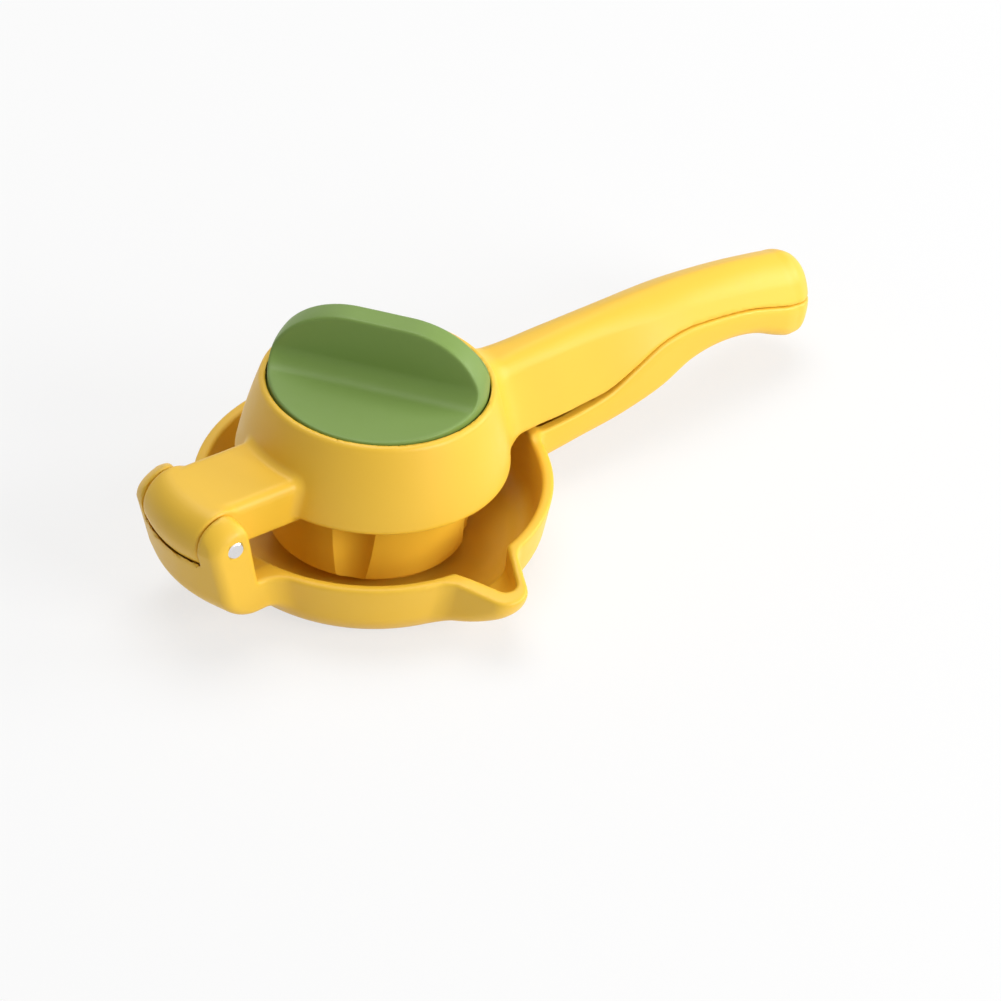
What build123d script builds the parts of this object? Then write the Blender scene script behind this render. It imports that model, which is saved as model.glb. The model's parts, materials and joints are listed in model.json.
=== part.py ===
from build123d import *
import os
from math import acos, atan2, cos, hypot, pi, sin

os.makedirs("parts", exist_ok=True)

# A hand citrus press in millimetres. The origin is the middle of the bowl's foot on the table, +Z is up,
# +X runs to the end of the grip, the hinge is on -X and the pouring lip on -Y. The press is closed.

# Overall reach of the press from the bowl's middle
grip_reach = 159.0
lip_reach = 64.6
hinge_reach = 60.0
hinge_height = 35.5

# Bowl
bowl_rim_radius = 50.4
bowl_height = 20.8
bowl_wall = 3.2
bowl_draft = 1.9
bowl_foot_round = 9.5

# Pouring lip
lip_root_radius = 16.2
lip_root_reach = 36.0
lip_tip_radius = 6.5
lip_dip = 2.4
lip_chin_height = 13.5
lip_throat_height = 4.2

# Hinge
pin_radius = 2.5
pin_proud = 0.3
pin_edge = 0.4
pin_seat_clearance = 0.02
pin_running_clearance = 0.06
knuckle_radius = 8.7
knuckle_width = 24.6
knuckle_gap = 0.4
ear_thickness = 6.0
ear_round = 2.2
ear_back_top = 4.9
ear_back_drop = 5.2
ear_back_foot = 7.2
nose_radius = 10.1
hinge_front = 11.0
hinge_front_bulge = 3.6
hinge_corner_round = 5.0
hinge_underside = 9.0
hinge_chin_round = 20.0
hinge_web_top = 31.4

# Upper lever: the collar is level when fruit is in the press, and dips a little when it is empty
closing_tilt = 4.0
arm_drop = 4.5
arm_edge_round = 2.2
collar_top = 57.9
collar_bottom = 33.0
collar_bottom_radius = 38.4
collar_lip = 1.6
collar_wall = 2.8
collar_edge_round = 1.0
web_top = 47.0
web_thickness = 3.4
web_boss_radius = 14.0
web_boss_drop = 1.4

# Grip, split into an upper and a lower channel
grip_root = 32.0
grip_crown = 41.2
grip_half_width = 13.0
grip_wall = 2.6
grip_crown_round = 6.5
grip_palm_round = 4.6
grip_end_round = 4.4
seam_gap = 0.5
rib_thickness = 1.8
rib_setback = 3.0

# Turning knob
knob_gap = 0.3
knob_radius = 30.6
knob_height = 19.9
knob_brim = 0.6
knob_fin = 7.4
knob_flat = 16.0
knob_cove = 13.2
knob_cove_height = 1.9
knob_cove_round = 9.0
knob_skirt = 9.4
knob_roof = 2.0
knob_wall = 2.6
knob_edge_round = 0.7
knob_angle = -54.0
shaft_radius = 8.0
shaft_running_clearance = 0.05
shoulder_radius = 12.0
drive_size = 11.0
drive_length = 18.0
drive_clearance = 0.05
seat_clearance = 0.02

# Bush and thrust washers
bush_radius = 10.6
bush_flange_radius = 13.0
bush_flange = 1.5
washer_thickness = 1.0
axial_play = 0.1
washer_bore_clearance = 0.3

# Reamer
reamer_gap = 7.1
reamer_draft = 0.6
reamer_depth = 23.3
reamer_shoulder = 4.0
reamer_edge_round = 1.4
reamer_floor = 3.0
reamer_wall = 2.4
reamer_hub_radius = 11.5
flute_count = 4
flute_angle = 43.0
flute_radius = 8.0
flute_depth = 3.9
flute_tip_depth = 0.9

# Screw that clamps the reamer to the knob
screw_radius = 2.0
screw_head_radius = 3.8
screw_head_height = 2.6
screw_head_round = 0.9
screw_length = 16.0
screw_slot_radius = 1.7
screw_slot_depth = 1.5
screw_washer_radius = 4.6
screw_washer_thickness = 0.8
screw_pocket_clearance = 0.4
cap_radius = 6.2
cap_thickness = 2.4
cap_round = 0.8

# One overrun for every cut that passes right through
overrun = 2.0

# Grip outline as shares: stations run from its root to its end, heights follow its crown, widths its half
# width. The seam's edge of the lower channel drops away from the upper one near the bowl.
grip_station_shares = (0.0, 0.11, 0.24, 0.40, 0.52, 0.60, 0.71, 0.80, 0.87, 0.93, 1.0)
grip_crown_shares = (1.0, 1.0, 0.996, 0.98, 0.961, 0.948, 0.9, 0.847, 0.815, 0.793, 0.745)
grip_palm_shares = (0.20, 0.21, 0.238, 0.272, 0.345, 0.45, 0.473, 0.41, 0.306, 0.23, 0.245)
grip_width_shares = (1.42, 1.06, 1.0, 0.98, 0.955, 0.945, 0.95, 0.98, 1.05, 1.11, 1.05)
seam_station_shares = (-0.2, 0.0, 0.13, 0.26, 0.35, 0.42, 0.50, 0.57, 0.65, 0.76, 0.90, 1.1)
seam_upper_shares = (0.66, 0.61, 0.555, 0.548, 0.57, 0.65, 0.748, 0.775, 0.752, 0.69, 0.56, 0.40)
seam_root_drop_shares = (0.16, 0.11, 0.05, 0.03, 0.012, 0.0, 0.0, 0.0, 0.0, 0.0, 0.0, 0.0)
grip_rib_shares = (0.22, 0.40, 0.58, 0.76)
grip_crown_width_share = 0.62

# Places that follow from the sizes above
hinge_x = -hinge_reach
hinge_axis = Axis((hinge_x, 0, hinge_height), (0, 1, 0))
clevis_half_width = knuckle_width / 2 + knuckle_gap + ear_thickness
collar_top_radius = knob_radius + knob_gap + collar_lip
web_bottom = web_top - web_thickness
bush_bottom = web_bottom - web_boss_drop
flange_top = web_top + bush_flange
shoulder_height = flange_top + washer_thickness
reamer_top = bush_bottom - washer_thickness
reamer_radius = collar_bottom_radius - collar_wall - reamer_gap
reamer_base = collar_bottom + reamer_shoulder
reamer_tip = collar_bottom - reamer_depth
cap_seat = reamer_tip + cap_thickness
drive_end = reamer_top - drive_length
screw_head_top = cap_seat + screw_pocket_clearance + screw_head_height
screw_seat = screw_head_top + screw_washer_thickness
screw_end = screw_head_top + screw_length


def tilted(solid):
    """Swings a solid of the level upper lever about the hinge pin to its closed place."""
    return solid.rotate(hinge_axis, closing_tilt)


def face_of(*lines):
    """A flat face inside lines that join end to end in a closed loop."""
    return make_face([edge for line in lines for edge in line.edges()])


def across(face, half_width):
    """A solid from a face of (x, z) points, equally far to both sides of the middle plane."""
    return extrude(Plane.XZ * face, amount=half_width, both=True)


def turned(*lines):
    """A solid of revolution about Z from a closed loop of (radius, z) lines."""
    return revolve(Plane.XZ * face_of(*lines), axis=Axis.Z)


def ring(outer, inner, low, high):
    """A flat ring about Z between two heights."""
    return turned(Polyline((inner, low), (outer, low), (outer, high), (inner, high), close=True))


def disc(radius, low, high):
    """A round disc or bar about Z between two heights."""
    return extrude(Plane.XY.offset(low) * Circle(radius), amount=high - low)


def bowl_form(inset):
    """The bowl's filled form. An inset gives the hollow that leaves a wall of that thickness."""
    shoulder = bowl_rim_radius - bowl_draft - inset
    foot = bowl_rim_radius - bowl_draft - bowl_foot_round
    top = bowl_height if inset == 0 else bowl_height + overrun
    rim = shoulder + bowl_draft * (top - bowl_foot_round) / (bowl_height - bowl_foot_round)
    return turned(
        Line((0, inset), (foot, inset)),
        RadiusArc((foot, inset), (shoulder, bowl_foot_round), -(bowl_foot_round - inset)),
        Polyline((shoulder, bowl_foot_round), (rim, top), (0, top), (0, inset)),
    )


def lip_form(inset):
    """The pouring lip's filled form: a tapering prow whose underside sweeps up to the tip."""
    tip_middle = lip_reach - lip_tip_radius
    root = Pos(0, -lip_root_reach) * Circle(lip_root_radius - inset)
    tip = Pos(0, -tip_middle) * Circle(lip_tip_radius - inset)
    top = bowl_height if inset == 0 else bowl_height + overrun
    prow = extrude(make_hull(root.edges() + tip.edges()), amount=top)
    back = -(lip_root_reach - lip_root_radius)
    throat = (-(bowl_rim_radius - bowl_draft - bowl_foot_round), lip_throat_height + inset)
    chin = (-(lip_reach - inset), lip_chin_height + inset)
    beyond = -(lip_reach + overrun)
    keep = face_of(
        Line((back, throat[1]), throat),
        TangentArc(throat, chin, tangent=(-1, 0)),
        Polyline(chin, (beyond, chin[1]), (beyond, top), (back, top), (back, throat[1])),
    )
    return prow & extrude(Plane.YZ * keep, amount=lip_root_radius, both=True)


def lip_dip_cut():
    """A wedge off the lip's top edge, so that it falls towards the tip."""
    start = -bowl_rim_radius
    end = -(lip_reach + overrun)
    fall = lip_dip * (end - start) / (-lip_reach - start)
    wedge = Polyline((start, bowl_height), (end, bowl_height - fall), (end, bowl_height + overrun),
                     (start, bowl_height + overrun), close=True)
    return extrude(Plane.YZ * face_of(wedge), amount=lip_root_radius, both=True)


def hinge_outline():
    """The hinge's side outline: round ears with a steep back, a bulging front and a neck to the bowl."""
    front = hinge_x - hinge_front
    top = (hinge_x, hinge_height + knuckle_radius)
    back = (hinge_x + ear_back_top, hinge_height + knuckle_radius - ear_back_drop)
    foot = hinge_x + ear_back_foot
    root = -(bowl_rim_radius - bowl_wall)
    chin = hinge_underside + hinge_chin_round
    reach = hypot(hinge_front, hinge_height - chin)
    turn = atan2(chin - hinge_height, -hinge_front) - acos(knuckle_radius / reach)
    brow = (hinge_x + knuckle_radius * cos(turn), hinge_height + knuckle_radius * sin(turn))
    middle = (turn - pi * 3 / 2) / 2
    crest = (hinge_x + knuckle_radius * cos(middle), hinge_height + knuckle_radius * sin(middle))
    return face_of(
        Line((root, hinge_underside), (front + hinge_chin_round, hinge_underside)),
        RadiusArc((front + hinge_chin_round, hinge_underside), (front, chin), hinge_chin_round),
        Line((front, chin), brow),
        ThreePointArc(brow, crest, top),
        TangentArc(top, back, tangent=(1, 0)),
        Polyline(back, (foot, bowl_height), (root, bowl_height), (root, hinge_underside)),
    )


def hinge_plan():
    """A tall block with the hinge's plan: straight cheeks and a bulging front with round corners."""
    front = hinge_x - hinge_front
    corner = front + hinge_front_bulge
    plan = face_of(
        ThreePointArc((corner, clevis_half_width), (front, 0), (corner, -clevis_half_width)),
        Polyline((corner, -clevis_half_width), (0, -clevis_half_width), (0, clevis_half_width),
                 (corner, clevis_half_width)),
    )
    plan = fillet(plan.vertices().group_by(Axis.X)[0], hinge_corner_round)
    return extrude(plan, amount=hinge_height + knuckle_radius + overrun)


def clevis():
    """The hinge block on the bowl: two round ears joined below by a front web and a neck to the bowl."""
    block = across(hinge_outline(), clevis_half_width) & hinge_plan()
    cheeks = block.faces().filter_by(Axis.Y)
    edges = cheeks.edges().filter_by(Axis.X, reverse=True).filter_by(Axis.Z, reverse=True)
    return fillet(edges, ear_round)


def knuckle_slot():
    """Room between the ears for the knuckle: a round seat, open above the front web and to the bowl."""
    seat = nose_radius + knuckle_gap
    half = knuckle_width / 2 + knuckle_gap
    top = hinge_height + seat + overrun
    front = hinge_x - hinge_front - overrun
    above = Polyline((front, hinge_web_top), (hinge_x, hinge_web_top), (hinge_x, bowl_height),
                     (0, bowl_height), (0, top), (front, top), close=True)
    return across(Pos(hinge_x, hinge_height) * Circle(seat), half) + across(face_of(above), half)


def pin_bore(clearance, half_width):
    """A bar along the hinge pin's axis, as wide as the pin and a clearance."""
    return across(Pos(hinge_x, hinge_height) * Circle(pin_radius + clearance), half_width)


def grip_section(index, inset):
    """One cross section of the grip: a rounded trapezium, narrower at the crown."""
    x = grip_root + grip_station_shares[index] * (grip_reach - inset - grip_root)
    crown = grip_crown_shares[index] * grip_crown - inset
    palm = grip_palm_shares[index] * grip_crown + inset
    half = grip_width_shares[index] * grip_half_width - inset
    crown_half = half * grip_crown_width_share
    outline = Polygon((-half, palm), (half, palm), (crown_half, crown), (-crown_half, crown), align=None)
    outline = fillet(outline.vertices().group_by(Axis.Y)[0], grip_palm_round - inset / 2)
    outline = fillet(outline.vertices().group_by(Axis.Y)[-1], grip_crown_round - inset / 2)
    return Plane(origin=(x, 0, 0), x_dir=(0, 1, 0), z_dir=(1, 0, 0)) * outline


def grip_form(inset):
    """The whole grip's filled form, or its hollow where an inset is given."""
    return loft([grip_section(i, inset) for i in range(len(grip_station_shares))])


def seam_region(upper, setback):
    """All space above the upper channel's edge, or below the lower one's, less a setback."""
    span = grip_reach - grip_root
    sign = 1 if upper else -1
    drops = [0 if upper else drop for drop in seam_root_drop_shares]
    rows = zip(seam_station_shares, seam_upper_shares, drops)
    shift = sign * (seam_gap / 2 + setback)
    points = [(grip_root + s * span, (u - d) * grip_crown + shift) for s, u, d in rows]
    limit = grip_crown + overrun if upper else -overrun
    first, last = points[0], points[-1]
    frame = Polyline(last, (last[0], limit), (first[0], limit), first)
    return across(face_of(Spline(*points), frame), grip_half_width * 2)


def grip_half(upper):
    """One channel of the grip, closed at its end, with cross ribs inside it."""
    whole = grip_form(0)
    whole = fillet(whole.faces().sort_by(Axis.X)[-1].edges(), grip_end_round)
    start = collar_bottom_radius + grip_wall if upper else bowl_rim_radius
    middle = (start + grip_reach) / 2
    hollow = grip_form(grip_wall)
    hollow &= Pos(middle, 0, 0) * Box(grip_reach - start, 4 * grip_half_width, 4 * grip_crown)
    channel = (whole - hollow) & seam_region(upper, 0)
    room = hollow & seam_region(upper, rib_setback)
    for share in grip_rib_shares:
        x = grip_root + share * (grip_reach - grip_root)
        plate = Pos(x, 0, 0) * Box(rib_thickness, 4 * grip_half_width, 4 * grip_crown)
        channel += room & plate
    return channel


def lower_lever():
    """Bowl, pouring lip, hinge ears and the lower half of the grip in one moulding."""
    solid = bowl_form(0) + lip_form(0) + clevis() + grip_half(False)
    solid -= bowl_form(bowl_wall) + lip_form(bowl_wall)
    solid -= knuckle_slot()
    solid -= lip_dip_cut()
    return solid - pin_bore(pin_seat_clearance, clevis_half_width + overrun)


def collar_form():
    """The collar's filled form: a drum that widens downwards."""
    drum = turned(Polyline((0, collar_bottom), (collar_bottom_radius, collar_bottom),
                           (collar_top_radius, collar_top), (0, collar_top), close=True))
    return fillet(drum.edges().filter_by(GeomType.CIRCLE), collar_edge_round)


def collar_hollow():
    """What is cut from the collar: the knob's well, the reamer's well and the bush's seat."""
    slope = (collar_bottom_radius - collar_top_radius) / (collar_top - collar_bottom)
    well_low = collar_bottom_radius - collar_wall
    well_high = well_low - slope * (web_bottom - collar_bottom)
    reamer_well = turned(Polyline((0, 0), (well_low, 0), (well_low, collar_bottom), (well_high, web_bottom),
                                  (0, web_bottom), close=True))
    reamer_well -= disc(web_boss_radius, bush_bottom, web_bottom)
    knob_well = disc(knob_radius + knob_gap, web_top, collar_top + overrun)
    bush_seat = disc(bush_radius + seat_clearance, bush_bottom - overrun, web_top + overrun)
    return reamer_well + knob_well + bush_seat


def arm():
    """The arm from the collar to the knuckle, which turns on the pin."""
    top = hinge_height + knuckle_radius
    low = hinge_height - arm_drop
    inside = -(collar_top_radius - collar_wall)
    bar = Polyline((hinge_x, low), (inside, low), (inside, top), (hinge_x, top), close=True)
    profile = Pos(hinge_x, hinge_height) * Circle(knuckle_radius) + face_of(bar)
    solid = across(profile, knuckle_width / 2)
    edges = solid.edges().filter_by(Axis.X).group_by(Axis.Z)[-1]
    return fillet(edges, arm_edge_round)


def nose():
    """The knuckle's front, flush with the ears and round about the pin so that it clears its seat."""
    front = hinge_outline() & Pos(hinge_x, hinge_height) * Circle(nose_radius)
    return across(front, knuckle_width / 2) & hinge_plan()


def upper_lever():
    """Knuckle, arm, collar and the upper half of the grip in one moulding."""
    solid = tilted(collar_form() + arm()) + nose() + grip_half(True)
    solid -= tilted(collar_hollow())
    return solid - pin_bore(pin_running_clearance, knuckle_width)


def hinge_pin():
    """The steel pin that joins the levers, a little proud of both ears."""
    pin = pin_bore(0, clevis_half_width + pin_proud)
    return chamfer(pin.edges().filter_by(GeomType.CIRCLE), pin_edge)


def knob_blank():
    """The knob's outside about its own middle: a disc scooped to a finger bar, rounded off at both ends."""
    half_fin = knob_fin / 2
    half_flat = knob_flat / 2
    side = knob_radius + knob_gap
    scoops = Polygon((-half_fin, knob_height), (half_fin, knob_height), (knob_cove, knob_cove_height),
                     (side, knob_brim), (side, -knob_skirt), (-side, -knob_skirt), (-side, knob_brim),
                     (-knob_cove, knob_cove_height), align=None)
    scoops = fillet(scoops.vertices().group_by(Axis.Y)[-2], knob_cove_round)
    corner = side - half_flat
    ends = face_of(
        EllipticalCenterArc((half_flat, 0), corner, knob_height, start_angle=0, arc_size=90),
        Line((half_flat, knob_height), (-half_flat, knob_height)),
        EllipticalCenterArc((-half_flat, 0), corner, knob_height, start_angle=90, arc_size=90),
        Polyline((-side, 0), (-side, -knob_skirt), (side, -knob_skirt), (side, 0)),
    )
    blank = extrude(Plane.YZ * scoops, amount=side, both=True) & across(ends, side)
    blank &= disc(knob_radius, -knob_skirt, knob_height)
    upper_edges = blank.edges().filter_by(lambda edge: edge.center().Z > knob_cove_height)
    upper_edges = upper_edges.filter_by(Axis.Y, reverse=True)
    return fillet(upper_edges, knob_edge_round)


def press_knob():
    """The turning knob, hollow below, with a shouldered shaft and a square drive for the reamer."""
    knob = Pos(0, 0, collar_top) * Rot(0, 0, knob_angle) * knob_blank()
    skirt_end = collar_top - knob_skirt
    roof = collar_top - knob_roof
    knob -= ring(knob_radius - knob_wall, shoulder_radius, skirt_end - overrun, roof)
    knob -= disc(shoulder_radius, skirt_end - overrun, shoulder_height)
    knob += disc(shaft_radius, reamer_top, shoulder_height)
    square = Plane.XY.offset(drive_end) * Rectangle(drive_size, drive_size)
    knob += extrude(square, amount=reamer_top - drive_end)
    return knob - disc(screw_radius + seat_clearance, drive_end - overrun, screw_end + screw_pocket_clearance)


def bearing_bush():
    """The flanged bush in the collar's web."""
    bore = shaft_radius + shaft_running_clearance
    return ring(bush_radius, bore, bush_bottom, web_top) + ring(bush_flange_radius, bore, web_top, flange_top)


def flute():
    """A bent round bar that scoops one flute on the +X side of the reamer and runs out at its lower edge."""
    top = (reamer_radius - flute_depth + flute_radius, reamer_base + overrun)
    tip = (reamer_radius - reamer_draft - flute_tip_depth + flute_radius, reamer_tip - overrun)
    path = Plane.XZ * TangentArc(top, tip, tangent=(0, -1))
    start = Plane(origin=path @ 0, z_dir=path % 0)
    return sweep(start * Circle(flute_radius), path=path)


def reamer():
    """The fluted drum that turns on the fruit, with a hub for the knob's square drive."""
    drum = turned(Polyline((0, reamer_tip), (reamer_radius - reamer_draft, reamer_tip),
                           (reamer_radius, collar_bottom), (reamer_radius, reamer_base), (0, reamer_base),
                           close=True))
    drum = fillet(drum.edges().filter_by(GeomType.CIRCLE).group_by(Axis.Z)[0], reamer_edge_round)
    one = flute()
    for index in range(flute_count):
        drum -= one.rotate(Axis.Z, flute_angle + index * 360 / flute_count)
    inner = reamer_radius - flute_depth - reamer_wall
    drum -= ring(inner, reamer_hub_radius, reamer_tip + reamer_floor, reamer_base + overrun)
    drum += disc(reamer_hub_radius, reamer_base, reamer_top)
    socket = drive_size + 2 * drive_clearance
    square = Plane.XY.offset(drive_end - seat_clearance) * Rectangle(socket, socket)
    drum -= extrude(square, amount=drive_length + overrun)
    drum -= disc(screw_radius + screw_pocket_clearance, screw_seat - overrun, drive_end)
    drum -= disc(screw_washer_radius + screw_pocket_clearance, cap_seat - overrun, screw_seat)
    return drum - disc(cap_radius + seat_clearance, reamer_tip - overrun, cap_seat)


def reamer_screw():
    """A pan-head screw with a hexagon recess, head down."""
    head_low = screw_head_top - screw_head_height
    head = disc(screw_head_radius, head_low, screw_head_top)
    head = fillet(head.edges().group_by(Axis.Z)[0], screw_head_round)
    recess = Plane.XY.offset(head_low) * RegularPolygon(screw_slot_radius, side_count=6)
    return head + disc(screw_radius, screw_head_top, screw_end) - extrude(recess, amount=screw_slot_depth)


def reamer_cap():
    """The cap that closes the screw's pocket in the reamer's tip."""
    cap = disc(cap_radius, reamer_tip, cap_seat)
    return fillet(cap.edges().group_by(Axis.Z)[0], cap_round)


def thrust_washer(low, high):
    """A flat washer round the knob's shaft."""
    return ring(shoulder_radius, shaft_radius + washer_bore_clearance, low, high)


def screw_washer():
    """The flat washer between the screw's head and the reamer's hub."""
    return ring(screw_washer_radius, screw_radius + seat_clearance, screw_head_top, screw_seat)


solids = {
    "lower_lever": lower_lever(),
    "upper_lever": upper_lever(),
    "hinge_pin": hinge_pin(),
    "press_knob": tilted(press_knob()),
    "bearing_bush": tilted(bearing_bush()),
    "knob_washer": tilted(thrust_washer(flange_top + axial_play, shoulder_height)),
    "reamer_washer": tilted(thrust_washer(reamer_top, bush_bottom - axial_play)),
    "reamer": tilted(reamer()),
    "reamer_screw": tilted(reamer_screw()),
    "screw_washer": tilted(screw_washer()),
    "reamer_cap": tilted(reamer_cap()),
}
for name, solid in solids.items():
    export_step(solid, f"parts/{name}.step")
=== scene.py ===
"""Looks of a hand citrus press: two moulded levers, a turning knob, a fluted reamer and a steel hinge pin."""

import json
import logging
import math
from dataclasses import dataclass
from enum import Enum
from typing import Callable, ClassVar

import bpy
import numpy as np
from bpy.types import Material, Node, NodeSocket, NodeTree, Object
from mathutils import Matrix, Vector


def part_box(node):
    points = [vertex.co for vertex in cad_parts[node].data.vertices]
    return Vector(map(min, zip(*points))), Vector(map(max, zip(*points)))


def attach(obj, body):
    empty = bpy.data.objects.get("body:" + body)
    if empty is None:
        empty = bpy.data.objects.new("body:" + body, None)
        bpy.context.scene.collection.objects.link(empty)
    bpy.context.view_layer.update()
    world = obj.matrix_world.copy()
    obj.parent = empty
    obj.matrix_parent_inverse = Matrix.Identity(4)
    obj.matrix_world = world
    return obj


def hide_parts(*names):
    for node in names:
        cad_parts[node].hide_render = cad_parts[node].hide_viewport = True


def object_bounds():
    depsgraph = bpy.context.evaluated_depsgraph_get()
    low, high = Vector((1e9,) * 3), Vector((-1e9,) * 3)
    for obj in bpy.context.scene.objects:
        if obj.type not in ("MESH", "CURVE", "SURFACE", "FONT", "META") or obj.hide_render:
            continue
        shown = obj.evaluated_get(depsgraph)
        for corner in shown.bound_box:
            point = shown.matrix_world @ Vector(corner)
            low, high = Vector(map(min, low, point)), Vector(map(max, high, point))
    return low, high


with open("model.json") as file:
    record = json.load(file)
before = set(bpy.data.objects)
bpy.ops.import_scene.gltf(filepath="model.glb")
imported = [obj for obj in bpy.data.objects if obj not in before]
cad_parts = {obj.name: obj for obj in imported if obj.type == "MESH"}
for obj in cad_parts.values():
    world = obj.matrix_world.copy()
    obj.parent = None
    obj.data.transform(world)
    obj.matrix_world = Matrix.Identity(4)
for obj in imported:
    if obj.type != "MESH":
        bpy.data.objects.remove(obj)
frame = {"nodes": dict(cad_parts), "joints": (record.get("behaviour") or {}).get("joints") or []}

log = logging.getLogger("citrus_press")
Array = np.ndarray
Field = Callable[[Array, Array, Array], Array]
Shares = tuple[float, ...]
Tone = tuple[float, float, float]
MILLIMETRE = 0.001
TINY = 1e-9
IMAGE_SIDE = 1001
CREASE = math.radians(60.0)
GRAIN_GROUP = "moulded_grain"
NOISE_MIDDLE = 0.5
CAD_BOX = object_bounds()


class Slot(Enum):
    """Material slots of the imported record."""

    YELLOW = "yellow_plastic"
    GREEN = "green_plastic"
    BEARING = "bearing_plastic"
    STEEL = "steel"


class Body(Enum):
    """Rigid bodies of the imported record."""

    LOWER = "lower"
    UPPER = "upper"
    HEAD = "press_head"


# Fields: a form is a function of x, y and z in millimetres.
# It is negative inside the form and grows by one per millimetre.


def round_join(a: Array, b: Array, radius: float) -> Array:
    """Two forms as one, with a hollow fillet between them.

    The value is max(r, min(a, b)) less the length of (r - a, r - b) with negative parts set to 0.

    Args:
        a: First form's field.
        b: Second form's field.
        radius: Fillet radius in millimetres.

    Returns:
        The joined form's field.
    """
    corner = np.hypot(np.maximum(radius - a, 0.0), np.maximum(radius - b, 0.0))
    return np.maximum(radius, np.minimum(a, b)) - corner


def round_meet(a: Array, b: Array, radius: float) -> Array:
    """What two forms share, with a round along the edge where they meet.

    The value is min(-r, max(a, b)) plus the length of (r + a, r + b) with negative parts set to 0.

    Args:
        a: First form's field.
        b: Second form's field.
        radius: Edge radius in millimetres.

    Returns:
        The shared form's field.
    """
    corner = np.hypot(np.maximum(radius + a, 0.0), np.maximum(radius + b, 0.0))
    return np.minimum(-radius, np.maximum(a, b)) + corner


def soft_meet(a: Array, b: Array, width: float) -> Array:
    """What two forms share, eased where they meet at a shallow angle.

    With h = (1 + (a - b) / w) / 2 held between 0 and 1, the value is a h + b (1 - h) + w h (1 - h).

    Args:
        a: First form's field.
        b: Second form's field.
        width: How far apart the two fields are where the easing ends, in millimetres.

    Returns:
        The shared form's field.
    """
    share = np.clip(0.5 + 0.5 * (a - b) / width, 0.0, 1.0)
    return a * share + b * (1.0 - share) + width * share * (1.0 - share)


def round_cut(a: Array, b: Array, radius: float) -> Array:
    """Form a less form b, with a round along the cut's edge."""
    return round_meet(a, -b, radius)


def eased(share: Array) -> Array:
    """A smooth step: s^2 (3 - 2 s), with s held between 0 and 1."""
    held = np.clip(share, 0.0, 1.0)
    return held * held * (3.0 - 2.0 * held)


def tapered_capsule(across: Array, along: Array, length: float, root: float, tip: float) -> Array:
    """Distance to the hull of two circles in a plane.

    With b = (root - tip) / length and a = sqrt(1 - b^2), a point is nearest to the root circle, to the
    straight side with normal (a, b), or to the tip circle, by its reach along (-b, a).

    Args:
        across: Distance from the middle line.
        along: Distance along the middle line from the root circle's middle.
        length: Distance between the two middles.
        root: Root circle's radius.
        tip: Tip circle's radius.

    Returns:
        Signed distance to the outline.
    """
    across = np.abs(across)
    lean = (root - tip) / length
    upright = math.sqrt(1.0 - lean * lean)
    reach = along * upright - across * lean
    side = across * upright + along * lean - root
    at_root = np.hypot(across, along) - root
    at_tip = np.hypot(across, along - length) - tip
    return np.where(reach < 0.0, at_root, np.where(reach > upright * length, at_tip, side))


class Curve:
    """A smooth curve through given stations: cubic Hermite spans with slopes from the neighbours."""

    def __init__(self, places: Array, values: Array) -> None:
        """Keeps the stations and the slope at each of them.

        Args:
            places: The stations' places, rising.
            values: The curve's value at each of them.
        """
        self.places = np.asarray(places, float)
        self.values = np.asarray(values, float)
        self.slopes = np.gradient(self.values, self.places)

    def __call__(self, x: Array) -> Array:
        """The curve's value, held level beyond its ends.

        With t the share of a span of width w that lies behind, counted from an end with value v and slope s,
        that end adds v (1 + 2 t) (1 - t)^2 + s w t (1 - t)^2.

        Args:
            x: Places.

        Returns:
            The values there.
        """
        x = np.clip(x, self.places[0], self.places[-1])
        span = np.clip(np.searchsorted(self.places, x, side="right") - 1, 0, len(self.places) - 2)
        width = self.places[span + 1] - self.places[span]
        t = (x - self.places[span]) / width
        start = self.values[span] * (1 + 2 * t) * (1 - t) ** 2 + self.slopes[span] * width * t * (1 - t) ** 2
        end = self.values[span + 1] * t * t * (3 - 2 * t) - self.slopes[span + 1] * width * t * t * (1 - t)
        return start + end

    def steepness(self, x: Array, step: float = 0.5) -> Array:
        """Length of the curve per unit of x, from a central difference."""
        return np.hypot(1.0, (self(x + step) - self(x - step)) / (2 * step))


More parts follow.
